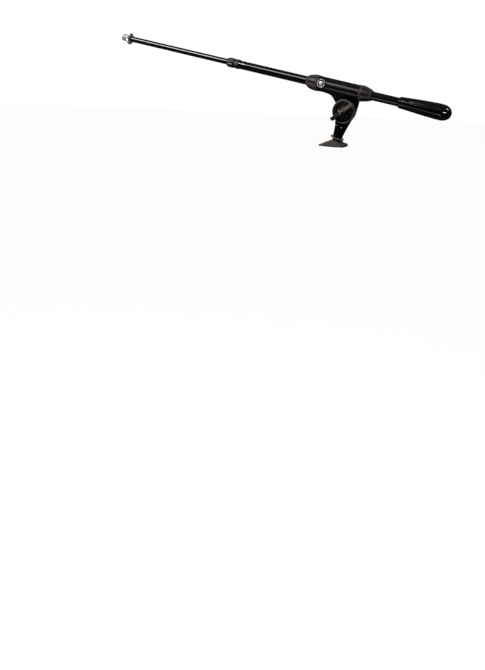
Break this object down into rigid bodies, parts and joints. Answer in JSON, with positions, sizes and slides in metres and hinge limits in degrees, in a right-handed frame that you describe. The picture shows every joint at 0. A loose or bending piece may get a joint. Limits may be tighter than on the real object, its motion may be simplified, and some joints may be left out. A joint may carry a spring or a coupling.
{
  "type": "boom microphone stand",
  "caption": "Telescoping microphone boom arm: wedge foot, swivel stem, T-bar tilt knob, clamp barrel with twist clutches, counterweight handle and threaded tip.",
  "frame": {"origin": "on the flat underside of the mounting foot, on its centre line, 18.5 mm behind (+X of) the point where the stem's axis meets that plane", "axes": "+Z out of the foot's top, normal to its underside; +X towards the counterweight handle, -X towards the microphone; the hinge axis is parallel to Y, with the T-bar knob on the -Y side. The stem leans 18.2 degrees towards +X and the boom rises 10.75 degrees towards -X at rest."},
  "size_m": [0.828, 0.0641, 0.2466],
  "materials": {
    "foot_plastic": "moulded glass-filled nylon, fine matt grain, dark brown-black",
    "black_enamel": "die-cast zinc in gloss black enamel, slight orange peel",
    "tube_black": "drawn steel tube in gloss black",
    "sleeve_black": "satin black",
    "black_steel": "black zinc plate, satin",
    "black_plastic": "moulded, satin with worn edges",
    "grip_rubber": "over-moulded, matt dark grey",
    "handle_rubber": "ribbed, satin black",
    "cap_gloss": "polished black",
    "badge_black": "plain domed disc, polished",
    "chrome": "bright chrome plate",
    "zinc_steel": "zinc plate",
    "brass": "turned",
    "nylon": "natural nylon",
    "fibre": "pressed friction fibre"
  },
  "bodies": {
    "foot": {"mounting_foot": "foot_plastic", "foot_screw_front": "black_steel", "foot_screw_rear_left": "black_steel", "foot_screw_rear_right": "black_steel", "thread_stud": "zinc_steel", "stud_washer": "zinc_steel", "stud_nut": "zinc_steel"},
    "lock_disc": {"lock_disc": "black_steel"},
    "stem": {"swivel_stem": "black_enamel", "stem_pin": "zinc_steel", "thread_insert": "brass", "hinge_bolt": "zinc_steel", "bolt_washer": "zinc_steel", "friction_disc_knob_side": "fibre", "friction_disc_far_side": "fibre"},
    "tilt_knob": {"tilt_knob": "black_plastic", "knob_insert": "brass", "knob_screw": "zinc_steel", "knob_washer": "zinc_steel"},
    "saddle": {"saddle_body": "black_enamel", "badge_bezel": "chrome", "badge_disc": "badge_black"},
    "front_clutch": {"front_clutch_grip": "grip_rubber"},
    "rear_clutch": {"rear_clutch_grip": "grip_rubber"},
    "collets": {"front_collet": "nylon", "rear_collet": "nylon"},
    "outer_boom": {"outer_tube": "tube_black", "handle_grip": "handle_rubber", "counterweight": "zinc_steel", "handle_end_cap": "cap_gloss", "telescope_sleeve": "sleeve_black"},
    "telescope_clutch": {"telescope_collar": "grip_rubber"},
    "telescope_bush": {"telescope_bush": "nylon"},
    "inner_boom": {"inner_tube": "tube_black", "inner_stop_bush": "nylon", "microphone_thread": "chrome", "tip_pin": "zinc_steel"},
    "tip_lock_ring": {"tip_lock_ring": "chrome"}
  },
  "joints": [
    {"name": "swivel", "type": "hinge", "parent": "foot", "child": "stem", "pos_m": [-0.0185, 0, 0], "axis": [0.3123, 0, 0.95], "continuous": true},
    {"name": "lock_disc_turn", "type": "hinge", "parent": "foot", "child": "lock_disc", "pos_m": [-0.0185, 0, 0], "axis": [0.3123, 0, 0.95], "continuous": true},
    {"name": "tilt", "type": "hinge", "parent": "stem", "child": "saddle", "pos_m": [0.00758, 0, 0.07932], "axis": [0, 1, 0], "range_deg": [-55, 80]},
    {"name": "tilt_knob_turn", "type": "hinge", "parent": "stem", "child": "tilt_knob", "pos_m": [0.00758, 0, 0.07932], "axis": [0, -1, 0], "range_deg": [-30, 330]},
    {"name": "front_clutch_turn", "type": "hinge", "parent": "saddle", "child": "front_clutch", "pos_m": [0.01584, 0, 0.12281], "axis": [-0.9825, 0, 0.1865], "range_deg": [-20, 180]},
    {"name": "rear_clutch_turn", "type": "hinge", "parent": "saddle", "child": "rear_clutch", "pos_m": [0.01584, 0, 0.12281], "axis": [0.9825, 0, -0.1865], "range_deg": [-20, 180]},
    {"name": "boom_roll", "type": "hinge", "parent": "saddle", "child": "collets", "pos_m": [0.01584, 0, 0.12281], "axis": [-0.9825, 0, 0.1865], "continuous": true},
    {"name": "boom_slide", "type": "slide", "parent": "collets", "child": "outer_boom", "axis": [-0.9825, 0, 0.1865], "range_m": [-0.17, 0.06]},
    {"name": "telescope_clutch_turn", "type": "hinge", "parent": "outer_boom", "child": "telescope_clutch", "pos_m": [0.01584, 0, 0.12281], "axis": [-0.9825, 0, 0.1865], "range_deg": [-20, 180]},
    {"name": "inner_roll", "type": "hinge", "parent": "outer_boom", "child": "telescope_bush", "pos_m": [0.01584, 0, 0.12281], "axis": [-0.9825, 0, 0.1865], "continuous": true},
    {"name": "telescope", "type": "slide", "parent": "telescope_bush", "child": "inner_boom", "axis": [-0.9825, 0, 0.1865], "range_m": [-0.268, 0.024]},
    {"name": "tip_lock_ring_turn", "type": "hinge", "parent": "inner_boom", "child": "tip_lock_ring", "pos_m": [0.01584, 0, 0.12281], "axis": [-0.9825, 0, 0.1865], "continuous": true}
  ]
}
